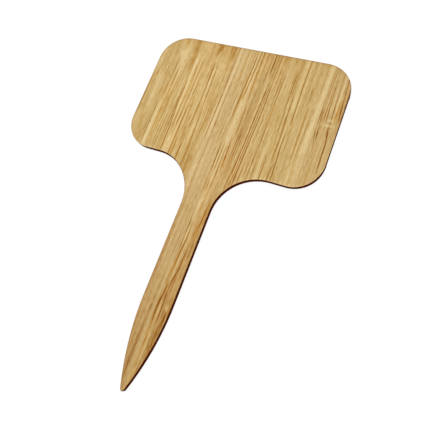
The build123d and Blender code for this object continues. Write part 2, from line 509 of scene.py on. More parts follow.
        ("dark", 1.1, 0.4, (3.3, 8), (3.25, 14), (3.1, 22)),
        ("gold", 0.5, 0.4, (2.85, 13), (2.85, 18)),
        ("dark", 1.0, 0.3, (4.2, 2), (4.3, 14)),
        ("dark", 1.0, 0.3, (4.8, 1), (4.75, 14)),
        ("cream", 0.5, 0.25, (5.05, 2), (5.05, 13)),
        ("brown", 0.7, 0.35, (5.3, 3), (5.3, 13)),
        ("cream", 0.5, 0.25, (4.5, 2), (4.5, 12)),
        ("dark", 1.2, 0.35, (2.85, 0), (2.65, 11)),
        ("dark", 1.4, 0.3, (1.15, -4), (1.1, 9.5)),
        ("dark", 1.3, 0.35, (0.4, -4), (0.25, 9)),
        ("cream", 0.7, 0.3, (0.75, -2), (0.7, 9)),
        ("cream", 0.7, 0.3, (1.55, -6), (1.55, 9)),
        ("cream", 0.6, 0.3, (2.35, -6), (2.35, 9)),
        ("dark", 1.1, 0.3, (1.9, -3), (2.0, 8.5)),
        ("cream", 0.6, 0.3, (5.5, -7), (5.6, 0), (5.8, 7)),
        ("gold", 1.1, 0.6, (3.0, -2), (2.9, 6)),
        ("dark", 1.3, 0.35, (1.95, -8), (2.07, -4), (2.1, -1), (2.0, 3)),
        ("olive", 0.3, 0.9, (4.4, -9), (4.4, 2)),
        ("cream", 0.4, 0.5, (3.1, -9), (3.1, 1)),
        ("brown", 1.2, 0.45, (6.0, -8), (5.95, 1)),
        ("brown", 0.8, 0.4, (3.7, -9), (3.6, -1)),
        ("brown", 0.6, 0.3, (1.1, -9.5), (0.9, -2)),
        ("gold", 1.0, 0.5, (1.15, -10), (0.9, -2)),
        ("brown", 0.6, 0.3, (0.35, -9), (0.2, -3)),
        ("gold", 0.9, 0.35, (0.6, -9), (0.25, -3)),
        ("gold", 1.2, 0.4, (1.8, -17), (1.75, -10), (1.95, -4)),
        ("cream", 0.4, 0.4, (2.3, -16), (2.3, -6)),
        ("cream", 0.8, 0.8, (0.8, -18), (0.8, -7)),
        ("brown", 0.9, 0.45, (3.1, -20), (3.4, -14), (3.8, -8)),
        ("gold", 0.8, 1.1, (3.5, -20), (3.6, -8)),
        ("brown", 0.7, 0.3, (3.9, -18), (4.0, -8)),
        ("dark", 1.3, 0.3, (0.3, -22), (0.25, -14)),
        ("gold", 0.8, 0.8, (2.8, -24), (2.8, -15)),
        ("cream", 1.2, 0.35, (0.6, -26), (0.75, -16)),
        ("dark", 1.4, 0.32, (0.85, -28), (1.15, -22), (1.1, -16)),
        ("brown", 0.9, 0.3, (0.2, -28), (0.3, -19)),
        ("brown", 0.9, 0.4, (3.4, -29), (3.45, -19)),
        ("brown", 0.9, 0.35, (0.7, -30), (0.75, -25.5), (0.95, -21)),
        ("cream", 0.6, 0.5, (1.3, -35), (1.6, -22)),
        ("dark", 1.2, 0.36, (1.5, -38), (1.55, -35), (1.8, -32.5), (2.1, -30.8), (2.3, -28), (2.4, -22)),
        ("gold", 1.2, 0.45, (0.2, -36), (0.4, -32.5), (0.7, -29), (0.95, -24)),
        ("brown", 0.5, 0.35, (0.4, -33), (0.7, -29), (0.95, -24)),
        ("cream", 0.4, 0.5, (2.9, -36), (2.9, -25)),
        ("brown", 0.6, 0.8, (2.2, -36), (2.3, -29)),
        ("brown", 0.5, 0.4, (2.4, -42), (2.3, -32)),
        ("dark", 1.5, 0.4, (0.55, -42), (0.7, -38.5), (0.95, -36), (0.95, -32.5)),
        ("brown", 0.4, 0.35, (1.15, -41), (1.25, -33.5)),
        ("dark", 1.2, 0.36, (1.95, -46.5), (1.85, -41), (1.6, -38.5), (1.5, -34)),
        ("dark", 1.5, 0.42, (0.7, -46.5), (0.5, -41), (0.4, -36.5)),
        ("brown", 0.45, 0.9, (3.9, -43), (3.9, -37)),
        ("cream", 0.9, 0.35, (1.25, -46), (1.2, -38)),
        ("cream", 1.2, 0.9, (3.1, -41.4), (3.3, -39.2)),
        ("dark", 0.7, 0.3, (2.7, -44), (2.6, -40)),
        ("dark", 1.2, 0.4, (3.3, -45), (3.6, -40.5)),
        ("brown", 0.7, 0.7, (3.3, -49), (3.5, -41)),
        ("dark", 0.7, 0.35, (2.7, -52), (3.0, -43)),
        ("gold", 1.2, 0.4, (0.9, -54), (0.65, -43.5)),
        ("brown", 1.0, 0.35, (2.3, -55), (2.1, -44)),
        ("cream", 0.4, 0.4, (0.35, -62), (0.3, -45)),
        ("cream", 0.5, 0.4, (1.5, -59), (1.4, -45)),
        ("brown", 0.6, 0.5, (2.9, -57), (3.1, -47)),
        ("gold", 0.8, 0.35, (1.1, -64), (1.0, -51)),
        ("brown", 0.7, 0.3, (1.7, -60), (1.75, -54)),
    ],
    "right_2": [
        ("brown", 0.5, 3.4, (9.5, 33), (9.5, 46)),
        ("brown", 0.25, 1.8, (7.1, 29), (7.1, 44)),
        ("rose", 1.2, 4.0, (7.0, -8), (7.0, 15)),
        ("brown", 0.2, 1.2, (6.7, -8), (6.7, 0)),
        ("dark", 1.3, 0.45, (6.3, 29), (6.3, 44)),
        ("brown", 0.6, 0.4, (7.2, 26), (7.2, 42)),
        ("brown", 0.6, 0.4, (8.0, 27), (7.9, 42)),
        ("gold", 0.5, 0.4, (9.8, 33), (9.8, 42)),
        ("cream", 0.5, 0.35, (8.8, 28), (8.8, 38)),
        ("brown", 1.1, 0.35, (9.1, 26), (9.15, 37)),
        ("dark", 1.1, 0.33, (10.7, 19), (10.85, 34)),
        ("cream", 0.6, 0.4, (11.3, 21), (11.3, 34)),
        ("cream", 0.9, 0.3, (6.3, 6), (6.35, 33)),
        ("brown", 1.1, 0.35, (10.2, 23), (10.05, 33)),
        ("cream", 0.6, 0.3, (8.4, 3), (8.5, 32)),
        ("dark", 1.4, 0.35, (6.25, -3), (6.45, 3), (6.7, 12), (6.85, 20), (7.15, 30)),
        ("dark", 1.3, 0.35, (7.45, -6), (7.75, 5), (8.0, 14), (8.15, 22), (8.1, 30)),
        ("cream", 0.8, 0.22, (6.4, -6), (6.85, 4), (7.1, 12), (7.35, 29)),
        ("dark", 1.0, 0.3, (6.8, -7), (7.1, 4), (7.4, 15), (7.65, 29)),
        ("cream", 0.8, 0.22, (6.95, -6), (7.45, 5), (7.75, 15), (7.9, 28)),
        ("gold", 0.8, 0.7, (10.8, 13), (10.8, 24)),
        ("brown", 0.4, 0.3, (9.2, 8), (9.2, 22)),
        ("cream", 0.5, 0.4, (9.4, 5), (9.5, 22)),
        ("dark", 1.0, 0.35, (11.1, 6), (10.75, 18)),
        ("cream", 0.7, 0.3, (11.4, 5), (11.3, 18)),
        ("brown", 0.8, 0.3, (11.75, -2), (11.75, 17)),
        ("brown", 1.3, 0.35, (10.65, -4), (10.7, 10)),
        ("brown", 1.3, 0.35, (9.85, -3), (9.85, 9)),
        ("cream", 0.9, 0.3, (10.25, -3), (10.25, 9)),
        ("cream", 0.6, 0.3, (11.2, -3), (11.2, 6)),
        ("brown", 0.9, 0.35, (11.9, -6), (11.85, 6)),
        ("gold", 0.9, 0.4, (6.5, -6), (6.5, 5)),
        ("gold", 0.7, 0.3, (7.2, -6), (7.2, 4)),
        ("brown", 1.1, 0.35, (8.75, -5), (8.75, 4)),
        ("cream", 0.7, 0.3, (9.25, -4), (9.25, 4)),
    ],
    "right_3": [
        ("brown", 0.3, 2.0, (12.9, 33), (12.9, 47)),
        ("cream", 0.35, 2.0, (12.8, 24), (12.8, 32)),
        ("cream", 0.4, 2.2, (16.5, 20), (16.5, 28)),
        ("cream", 0.4, 2.4, (13.6, -4), (13.6, 11)),
        ("dark", 1.1, 0.3, (14.75, 23), (14.85, 43)),
        ("cream", 0.6, 0.9, (16.0, 17), (16.0, 43)),
        ("dark", 1.2, 0.35, (17.15, 16), (17.0, 24), (16.85, 30), (16.85, 43)),
        ("gold", 0.5, 0.4, (12.4, 32), (12.4, 42)),
        ("dark", 0.9, 0.28, (14.45, 24), (14.35, 41)),
        ("cream", 0.7, 0.4, (17.6, 17), (17.5, 41)),
        ("brown", 0.6, 0.35, (13.65, 24), (13.5, 37)),
        ("dark", 1.1, 0.35, (14.2, 19), (14.05, 27), (13.9, 36)),
        ("gold", 0.4, 0.4, (12.9, 22), (12.9, 34)),
        ("cream", 0.6, 0.25, (14.5, 13), (14.6, 32)),
        ("dark", 0.9, 0.4, (15.3, 14), (15.4, 20), (15.1, 29)),
        ("cream", 0.6, 0.25, (14.85, 12), (14.85, 25)),
        ("brown", 1.5, 0.35, (14.5, 12), (14.35, 24)),
        ("brown", 0.8, 0.35, (17.5, 12), (17.2, 23)),
        ("gold", 0.4, 0.8, (13.0, 14), (13.0, 22)),
        ("dark", 1.1, 0.35, (15.55, 4), (15.75, 11), (15.55, 20)),
        ("cream", 1.0, 0.4, (16.35, 6), (16.2, 20)),
        ("brown", 0.5, 0.4, (17.85, 6), (17.85, 20)),
        ("dark", 1.3, 0.35, (17.35, -4), (17.0, 6), (16.75, 10), (16.7, 17)),
        ("cream", 0.5, 0.8, (13.0, -5), (13.0, 16)),
        ("gold", 0.8, 0.4, (14.8, 6), (14.8, 16)),
        ("cream", 0.6, 0.3, (17.2, 7), (17.1, 15)),
        ("dark", 1.4, 0.33, (14.1, -6), (13.95, 10)),
        ("cream", 0.4, 0.4, (15.1, 0), (15.1, 10)),
        ("dark", 1.2, 0.3, (13.5, -1), (13.5, 9.5)),
        ("cream", 0.5, 0.3, (13.75, -1), (13.7, 9)),
        ("brown", 0.5, 0.3, (14.6, 0), (14.6, 9)),
        ("dark", 1.1, 0.35, (16.05, -4), (16.45, 7)),
        ("brown", 0.6, 0.35, (17.75, -4), (17.8, 5)),
    ],
    "right_4": [
        ("brown", 0.3, 2.4, (22.2, 33), (22.2, 47)),
        ("cream", 0.8, 1.3, (23.0, 8), (23.2, 43)),
        ("cream", 0.25, 2.6, (21.0, -3), (21.0, 10)),
        ("cream", 0.35, 1.8, (23.2, -2), (23.2, 10)),
        ("brown", 0.4, 0.9, (18.6, 17), (18.6, 42)),
        ("cream", 0.4, 0.4, (19.4, 28), (19.4, 42)),
        ("gold", 0.6, 0.45, (22.0, 31), (22.0, 42)),
        ("brown", 0.7, 0.35, (22.2, 25), (22.05, 36)),
        ("brown", 0.7, 0.4, (19.85, 22), (19.8, 32)),
        ("brown", 0.5, 0.35, (20.4, 7), (20.4, 24)),
        ("gold", 0.8, 0.4, (20.4, 1), (20.5, 24)),
        ("cream", 0.5, 0.3, (20.95, 4), (21.1, 24)),
        ("brown", 0.8, 0.35, (21.3, 4), (21.6, 15), (21.75, 24)),
        ("cream", 0.4, 0.3, (19.2, 6), (19.2, 22)),
        ("brown", 0.4, 0.3, (18.9, 5), (18.9, 20)),
        ("cream", 0.4, 0.3, (19.9, 4), (20.0, 20)),
        ("cream", 0.6, 0.7, (22.4, 2), (22.6, 20)),
        ("brown", 0.4, 0.4, (19.9, 0), (19.9, 10)),
        ("gold", 0.7, 0.4, (22.2, -5), (22.2, 9)),
        ("cream", 0.5, 0.6, (21.3, -4), (21.4, 7)),
    ],
    "right_5": [
        ("cream", 0.25, 2.2, (25.4, 21), (25.4, 35)),
        ("cream", 0.25, 2.4, (27.2, 21), (27.2, 31)),
        ("cream", 0.9, 1.7, (27.2, 20.2), (27.3, 21.9)),
        ("olive", 0.6, 1.8, (27.2, 19.8), (27.2, 20.8)),
        ("cream", 0.9, 2.8, (26.7, 18.8), (26.7, 20.3)),
        ("brown", 0.6, 1.3, (27.7, 18.4), (27.7, 19.4)),
        ("brown", 0.6, 0.33, (24.1, 23), (24.15, 42)),
        ("brown", 0.7, 0.33, (24.65, 23), (24.55, 42)),
        ("olive", 0.5, 0.8, (25.5, 29), (25.5, 40)),
        ("brown", 0.7, 0.4, (27.05, 26), (26.85, 40)),
        ("dark", 1.2, 0.35, (29.4, 19.5), (28.95, 26), (28.6, 32), (28.45, 39)),
        ("cream", 0.9, 0.5, (27.75, 22), (27.8, 36)),
        ("dark", 1.2, 0.33, (26.2, 17.5), (25.85, 26), (25.6, 35)),
        ("cream", 0.6, 0.4, (26.55, 21), (26.4, 35)),
        ("brown", 1.1, 0.35, (29.75, 18), (29.7, 35)),
        ("dark", 1.0, 0.33, (25.5, 17.5), (25.3, 31)),
        ("dark", 1.2, 0.35, (27.55, 18.5), (27.2, 24), (27.05, 31)),
        ("cream", 0.5, 0.3, (25.05, 20), (25.0, 30)),
        ("gold", 1.4, 0.8, (28.45, 19), (28.25, 29)),
        ("dark", 0.9, 0.32, (29.4, 20.2), (29.1, 23.5), (28.75, 27.5)),
        ("dark", 1.5, 0.28, (24.15, 18), (24.25, 26)),
        ("dark", 1.4, 0.28, (24.6, 18.3), (24.75, 26)),
        ("cream", 0.3, 1.0, (28.6, 18.6), (28.6, 21.4)),
        ("dark", 1.5, 0.4, (28.1, 4.5), (28.1, 9), (27.95, 14), (27.65, 17), (27.2, 21)),
        ("dark", 1.7, 0.26, (25.4, 12.8), (24.95, 16), (24.6, 20.3)),
        ("olive", 0.7, 0.3, (28.8, 14.5), (28.3, 20)),
        ("dark", 1.5, 0.3, (27.8, 15.0), (27.45, 17.3), (27.1, 19.8)),
        ("dark", 1.5, 0.26, (24.95, 12), (24.5, 15.5), (24.1, 19.3)),
        ("cream", 0.7, 0.25, (25.1, 13.0), (24.4, 19.0)),
        ("cream", 0.4, 0.5, (26.6, 6), (26.7, 17)),
        ("brown", 0.4, 0.35, (27.2, 3), (27.1, 15)),
        ("cream", 0.4, 0.4, (28.7, 4), (28.6, 14)),
        ("gold", 0.5, 0.6, (26.0, -3), (26.0, 11)),
    ],
}

# How dark each strip is overall, how warm and how rosy
STRIP_SHADES = {
    "left_5": (-0.05, -0.1, 0.0),
    "left_4": (-0.05, 0.05, -0.2),
    "left_3": (-0.2, 0.3, 0.0),
    "left_2": (-0.05, 0.2, 0.0),
    "left_1": (-0.18, -0.6, 0.8),
    "right_1": (-0.05, -0.15, 0.5),
    "right_2": (0.0, -0.1, 0.2),
    "right_3": (0.0, 0.0, -0.2),
    "right_4": (-0.05, -0.25, 0.0),
    "right_5": (0.05, -0.45, 0.5),
}
TIP_DARKENING = 0.6       # how much darker the stem gets down to its tip

WANDER = 0.03             # how far a streak sways about its line
SWAY_LENGTH = 3.1
SWAY_SHIFT = 7.0          # how far its place shifts that sway, so that no two streaks sway alike
FADE_LENGTH = 5.0         # over which a streak starts and ends
FADE_SHARE = 0.45         # and the most of a short one that either takes
BELL_WIDTH = 3.33         # a bell curve's width at a quarter of its height, in its deviations


def eased(share):
    """A smooth climb from 0 to 1 as share goes from 0 to 1: 3 s squared less 2 s cubed."""
    share = np.clip(share, 0.0, 1.0)
    return share * share * (3.0 - 2.0 * share)


def stretch_cover(height, start, end, fade):
    """How fully a stretch along the grain covers each height: 1, with a smooth start and end."""
    return eased((height - start) / fade) * eased((end - height) / fade)


def streak_cover(across, height, width, points):
    """How fully a streak covers each place: a bell curve across the grain about the line through
    its points, times a smooth start and end along it."""
    places, heights = np.array(points).T
    sway = WANDER * np.sin(height / SWAY_LENGTH + SWAY_SHIFT * places[0])
    middle = np.interp(height, heights, places) + sway
    bell = np.exp(-0.5 * np.square((across - middle) * BELL_WIDTH / width))
    fade = min(FADE_LENGTH, FADE_SHARE * (heights[-1] - heights[0]))
    return bell * stretch_cover(height, heights[0], heights[-1], fade)


def inked(across, height, streaks, shade):
    """Darkness, warmth and rosiness at each place: the strip's own shade, and the sum of what every
    streak's ink adds there."""
    tones = np.zeros((3, *across.shape)) + np.reshape(shade, (3, 1, 1))
    for ink, strength, width, *points in streaks:
        cover = strength * streak_cover(across, height, width, points)
        tones += cover * np.reshape(INKS[ink], (3, 1, 1))
    return tones


STRAY_INKS = ["dark", "brown", "gold", "olive", "cream", "cream"]
FAINTEST_SHARE = 0.3      # of the strongest stray streak
NARROWEST = 0.15
MOST_DRIFT = 0.1          # how far a stray streak drifts across over its length
SHORTEST_SHARE = 0.15     # of the longest stray streak
BELOW_SHARE = 0.5         # the most of its length that may lie below the tip
WITHIN_SHARE = 0.3        # the least of its length that lies below the head's upper edge


def stray_streaks(random, left, right, count, strongest, widest, longest):
    """Streaks at random places of a strip, in random inks, that run straight along the grain."""
    streaks = []
    for _ in range(count):
        ink = random.choice(STRAY_INKS)
        strength = strongest * random.uniform(FAINTEST_SHARE, 1.0)
        width = random.uniform(NARROWEST, widest)
        place = random.uniform(left, right)
        drift = random.uniform(-MOST_DRIFT, MOST_DRIFT)
        length = random.uniform(SHORTEST_SHARE, 1.0) * longest
        lowest, highest = -stem_length - BELOW_SHARE * length, head_height - WITHIN_SHARE * length
        start = random.uniform(lowest, highest)
        streaks.append((ink, strength, width, (place, start), (place + drift, start + length)))
    return streaks


# Meshes

def slant_of(edge, along):
    """How much further apart places lie on a slanted edge than straight across it."""
    return np.minimum(np.hypot(1.0, np.gradient(edge, along)), MOST_SLANT)


def ruled(low, high, low_slant, high_slant, step):
    """Rows of places from each low to its high: the rim steps at both ends, widened where the
    edge is slanted, and even between."""
    room = RIM_SHARE * (high - low) / RIM_STEPS[-1]
    near_low = low[:, None] + RIM_STEPS * np.minimum(low_slant, room)[:, None]
    near_high = high[:, None] - RIM_STEPS[::-1] * np.minimum(high_slant, room)[:, None]
    first, last = near_low[:, -1:], near_high[:, :1]
    shares = np.linspace(0.0, 1.0, 1 + math.ceil(np.max(last - first) / step))[1:-1]
    return np.concatenate([near_low, first + (last - first) * shares, near_high], axis=1)


def merged(*places):
    """All these places in order, without those that come too close after another."""
    together = np.unique(np.concatenate(places))
    return together[np.diff(together, prepend=-np.inf) > LEAST_STEP]


def grid_along(lines):
    """Places across and heights on lines along the grain, from the label's lower edge to its
    upper edge."""
    low, high = lower_edge_at(lines), upper_edge_at(lines)
    heights = ruled(low, high, slant_of(low, lines), slant_of(high, lines), ALONG_STEP)
    return np.broadcast_to(lines[:, None], heights.shape), heights


def head_strip_grid(left, right):
    """Places across and heights of a strip that ends at the head's lower and upper edges: lines
    along the grain, which crowd towards the head's side as one less the cosine of even turns."""
    turns = np.arange(0.0, math.pi / 2, CORNER_TURN)
    inward = half_head - HEAD_CORNER * (1.0 - np.cos(turns))
    crowded = np.concatenate([inward, -inward])
    crowded = crowded[(crowded > left) & (crowded < right)]
    even = np.linspace(left, right, 1 + math.ceil((right - left) / ACROSS_STEP))
    return grid_along(merged(even, crowded))


def stem_strip_grid(left, right):
    """Places across and heights of a strip that runs down the stem to its tip: lines across the
    grain, which crowd round the nose and at the head's upper edge, and end at the outline."""
    inner, outer = max(left, -right, 0.0), max(-left, right)
    first_turn = math.asin((inner + LOWEST_REACH) / NOSE)
    nose = nose_centre - NOSE * np.cos(np.arange(first_turn, math.pi / 2, NOSE_TURN))
    lines = merged(
        nose,
        np.linspace(nose[0], head_height, 1 + math.ceil((head_height - nose[0]) / ALONG_STEP)),
        head_height - RIM_STEPS,
        [lower_edge_at(outer)],
    )
    half_width = half_width_at(lines)
    low, high = np.maximum(left, -half_width), np.minimum(right, half_width)
    across = ruled(low, high, slant_of(low, lines), slant_of(high, lines), ACROSS_STEP)
    return across.T, np.broadcast_to(lines, across.T.shape)


def rim_of(grid_shape):
    """The numbers of a grid's outermost points, in order round it against the clock."""
    number = np.arange(grid_shape[0] * grid_shape[1]).reshape(grid_shape)
    return np.concatenate([
        number[:, 0],
        number[-1, 1:],
        number[-2::-1, -1],
        number[0, -2:0:-1],
    ])


def plate_object(name, front, back, marks, charred, materials):
    """A closed plate: a front and a back grid, each as places across, heights and levels, joined
    by walls round the rim. Each mark, and charred, is a pair of values, for the front and for the
    back. Walls on the cut outline, and faces with every corner charred, take the second
    material."""
    grid_shape = front[0].shape
    grid_size = front[0].size
    rim = rim_of(grid_shape)
    levels = np.linspace(0.0, 1.0, WALL_LEVELS + 1)[1:-1, None]

    def everywhere(on_front, on_back):
        """The values at the front's points, the back's and the walls', which run evenly from the
        back's rim to the front's."""
        rim_front, rim_back = on_front.ravel()[rim], on_back.ravel()[rim]
        walls = rim_back + (rim_front - rim_back) * levels
        return np.concatenate([on_front.ravel(), on_back.ravel(), walls.ravel()])

    points = np.stack([everywhere(*pair) for pair in zip(front, back)], axis=1)
    points[:, 1] += head_bottom

    number = np.arange(grid_size).reshape(grid_shape)
    front_faces = np.stack([
        number[:-1, :-1], number[1:, :-1], number[1:, 1:], number[:-1, 1:],
    ], axis=-1).reshape(-1, 4)
    back_faces = front_faces[:, ::-1] + grid_size
    wall_rows = 2 * grid_size + np.arange((WALL_LEVELS - 1) * len(rim)).reshape(-1, len(rim))
    wall_rows = np.concatenate([[rim + grid_size], wall_rows, [rim]])
    onward = np.roll(wall_rows, -1, axis=1)
    wall_faces = np.stack([
        wall_rows[:-1], onward[:-1], onward[1:], wall_rows[1:],
    ], axis=-1).reshape(-1, 4)
    faces = np.concatenate([front_faces, back_faces, wall_faces])

    mesh = bpy.data.meshes.new(name)
    mesh.from_pydata(points * MM, [], faces.tolist())
    for mark, pair in marks.items():
        attribute = mesh.attributes.new(mark, "FLOAT", "POINT")
        attribute.data.foreach_set("value", everywhere(*pair).astype(np.float32))
    for material in materials:
        mesh.materials.append(material)
    charred_front, charred_back = (face.ravel()[front_faces].all(axis=1) for face in charred)
    on_cut = marks["depth"][0].ravel()[rim] < LEAST_STEP
    burnt_walls = np.tile(on_cut & np.roll(on_cut, -1), WALL_LEVELS)
    is_burnt = np.concatenate([charred_front, charred_back, burnt_walls])
    mesh.polygons.foreach_set("material_index", is_burnt.astype(np.int32))
    mesh.shade_smooth()
    mesh.set_sharp_from_angle(angle=SHARP_ANGLE)
    mesh.update()
    plate = bpy.data.objects.new(name, mesh)
    bpy.context.scene.collection.objects.link(plate)
    return plate


# Materials

# Sizes of their patterns across the label, along it and through its thickness, in millimetres
BROAD_FIBRE = (0.3, 20.0, 0.7)
FINE_FIBRE = (0.13, 2.0, 0.25)
PORE = (0.14, 2.2, 0.3)
TOAST_PATCH = (2.5, 5.0, 2.0)
BEAM_STEP = (0.25, 0.25, 5.0)
CLEAR_STRETCH = (1.0, 6.0, 1.0)

MIDDLE_NOISE = 0.5        # what noise varies about
BROAD_SHARE = 0.4         # how strong the broad fibres are beside the fine ones
PORE_LEVELS = (0.66, 0.8)       # the noise at which a pore starts, and at which it is full
STEP_LEVELS = (0.3, 0.75)       # the same for the char's lighter stripes
CLEAR_LEVELS = (0.35, 0.65)     # and for the glue's clear stretches
BAMBOO_TOAST_REACH = 0.2  # how deep inside the outline the toasting reaches, in millimetres
GLUE_TOAST_REACH = 0.22


def srgb(red, green, blue):
    """A colour given as it shows on a screen, from 0 to 255, as the shader's linear values: the
    screen's own curve, a power that starts with a straight run."""
    share = np.array([red, green, blue]) / 255.0
    low, high = share / 12.92, ((share + 0.055) / 1.055)**2.4
    return (*np.where(share <= 0.04045, low, high), 1.0)


def node(tree, kind, inputs=(), **settings):
    """A new shader node. Each input is a value or another node's output, by its name or number."""
    made = tree.nodes.new(kind)
    for setting, value in settings.items():
        setattr(made, setting, value)
    for socket, value in dict(inputs).items():
        if isinstance(value, bpy.types.NodeSocket):
            tree.links.new(value, made.inputs[socket])
        else:
            made.inputs[socket].default_value = value
    return made


def worked(tree, operation, *values):
    """The output of a Math node."""
    return node(tree, "ShaderNodeMath", enumerate(values), operation=operation).outputs[0]


def share_of(tree, value, lowest, highest, kind="LINEAR"):
    """How far a value is on its way from the lowest to the highest, from 0 to 1."""
    return node(tree, "ShaderNodeMapRange", {
        "Value": value, "From Min": lowest, "From Max": highest,
    }, interpolation_type=kind).outputs[0]


def bumped(tree, height, strength, distance):
    """Normals bumped by a height, whose full strength is this distance in millimetres."""
    return node(tree, "ShaderNodeBump", {
        "Height": height, "Strength": strength, "Distance": distance * MM,
    }).outputs[0]


def blended(tree, share, first, second):
    """The colour between first and second."""
    mix = node(tree, "ShaderNodeMix", {"Factor": share}, data_type="RGBA")
    for socket, colour in (("A", first), ("B", second)):
        target = next(s for s in mix.inputs if s.name == socket and s.type == "RGBA")
        if isinstance(colour, bpy.types.NodeSocket):
            tree.links.new(colour, target)
        else:
            target.default_value = colour
    return next(s for s in mix.outputs if s.type == "RGBA")


def mark_of(tree, name):
    """A value that the mesh carries at each point."""
    return node(tree, "ShaderNodeAttribute", attribute_name=name).outputs["Fac"]


def group(name, inputs, outputs):
    """An empty shader node group with its sockets, and the inner ends of those sockets."""
    tree = bpy.data.node_groups.new(name, "ShaderNodeTree")
    for side, sockets in (("INPUT", inputs), ("OUTPUT", outputs)):
        for socket in sockets:
            tree.interface.new_socket(socket, in_out=side, socket_type="NodeSocketFloat")
    return tree, node(tree, "NodeGroupInput").outputs, node(tree, "NodeGroupOutput").inputs


def placed(tree, inner, **inputs):
    """A shader node group placed in a material, with its own values."""
    return node(tree, "ShaderNodeGroup", inputs, node_tree=inner).outputs


def noise(tree, size, detail, place):
    """Noise from about 0 to 1, whose spots are of this size across the label, along it and through
    its thickness. Its place shifts it, so that no two patterns go together."""
    mapped = node(tree, "ShaderNodeMapping", {
        "Vector": node(tree, "ShaderNodeTexCoord").outputs["Object"],
        "Location": (place, place, place),
        "Scale": [1.0 / (spot * MM) for spot in size],
    })
    return node(tree, "ShaderNodeTexNoise", {
        "Vector": mapped.outputs[0], "Scale": 1.0, "Detail": detail, "Roughness": 0.6,
    }).outputs["Fac"]


def fibre_group():
    """Bamboo's fine fibres: long thin noise along the grain in two sizes, less its middle value,
    and short dark pores where a third noise rises over a level."""
    tree, given, out = group("bamboo_fibre", ["Fibre", "Pores"], ["Shade", "Height"])
    broad = noise(tree, BROAD_FIBRE, detail=1.0, place=3.0)
    fine = noise(tree, FINE_FIBRE, detail=1.0, place=11.0)
    both = worked(tree, "MULTIPLY_ADD", broad, BROAD_SHARE, fine)
    centred = worked(tree, "SUBTRACT", both, MIDDLE_NOISE * (1.0 + BROAD_SHARE))
    fibre = worked(tree, "MULTIPLY", centred, given["Fibre"])
    speckle = noise(tree, PORE, detail=1.0, place=23.0)
    pore = share_of(tree, speckle, *PORE_LEVELS, kind="SMOOTHSTEP")
    shade = worked(tree, "MULTIPLY_ADD", pore, given["Pores"], fibre)
    tree.links.new(shade, out["Shade"])
    tree.links.new(worked(tree, "SUBTRACT", 0.5, shade), out["Height"])
    return tree


def toast_group():
    """How toasted a face is beside the laser's cut: it grows with the smoke and falls off with
    the depth inside the outline, over a reach that varies from place to place and is longer
    where there is more smoke."""
    tree, given, out = group("laser_toast", ["Depth", "Reach", "Smoke"], ["Toast"])
    uneven = worked(tree, "ADD", noise(tree, TOAST_PATCH, detail=2.0, place=5.0), MIDDLE_NOISE)
    reach = worked(tree, "MULTIPLY", given["Reach"], uneven)
    reach = worked(tree, "MULTIPLY", reach, given["Smoke"])
    fall = worked(tree, "DIVIDE", given["Depth"], reach)
    left = worked(tree, "EXPONENT", worked(tree, "MULTIPLY", fall, -1.0))
    tree.links.new(worked(tree, "MULTIPLY", left, given["Smoke"]), out["Toast"])
    return tree


bamboo_fibre = fibre_group()
laser_toast = toast_group()

# The bamboo's colour by how dark its fibres are: 0 is its middle tone
MIDDLE_TONE = srgb(210, 177, 115)
BAMBOO_TONES = {
    -1.2: srgb(237, 209, 153),
    -0.5: srgb(223, 193, 134),
    0.0: MIDDLE_TONE,
    0.5: srgb(197, 160, 96),
    1.0: srgb(182, 140, 75),
    1.6: srgb(160, 110, 50),
    2.2: srgb(134, 80, 26),
}
WARMER_TONE = srgb(216, 178.4, 109.8)
ROSIER_TONE = srgb(211.6, 175.8, 114.6)
TOAST_TONE = srgb(150, 100, 44)
MOST_TOASTED = 0.7        # how near the bamboo comes to that tone right beside the cut
CHAR_TONE = srgb(51, 10, 3)
LIGHT_CHAR_TONE = srgb(95, 35, 14)
GLUE_TONE = srgb(186, 148, 88)
CLEAR_GLUE_TONE = srgb(204, 169, 108)
DARK_GLUE_TONE = srgb(140, 92, 40)


def new_material(name, even_values):
    """A material with its Principled shader, whose even values are set on the shader itself."""
    material = bpy.data.materials.new(name)
    material.use_nodes = True
    shader = material.node_tree.nodes["Principled BSDF"].inputs
    for socket, value in even_values.items():
        shader[socket].default_value = value
    return material, material.node_tree, shader


def toned(tree, darkness):
    """The bamboo's colour by its darkness, from a colour ramp with a stop at each of its tones."""
    lowest, *between, highest = sorted(BAMBOO_TONES)
    ramp = node(tree, "ShaderNodeValToRGB", {"Fac": share_of(tree, darkness, lowest, highest)})
    stops = ramp.color_ramp.elements
    stops[0].color = BAMBOO_TONES[lowest]
    stops[1].color = BAMBOO_TONES[highest]
    for tone in between:
        stops.new((tone - lowest) / (highest - lowest)).color = BAMBOO_TONES[tone]
    return ramp.outputs["Color"]


def shifted(tree, colour, mark, tone):
    """A colour shifted by the step from the middle tone to another tone, times a mark."""
    step = node(tree, "ShaderNodeVectorMath", {
        0: np.subtract(tone, MIDDLE_TONE)[:3], "Scale": mark_of(tree, mark),
    }, operation="SCALE").outputs[0]
    return node(tree, "ShaderNodeVectorMath", {0: colour, 1: step}, operation="ADD").outputs[0]


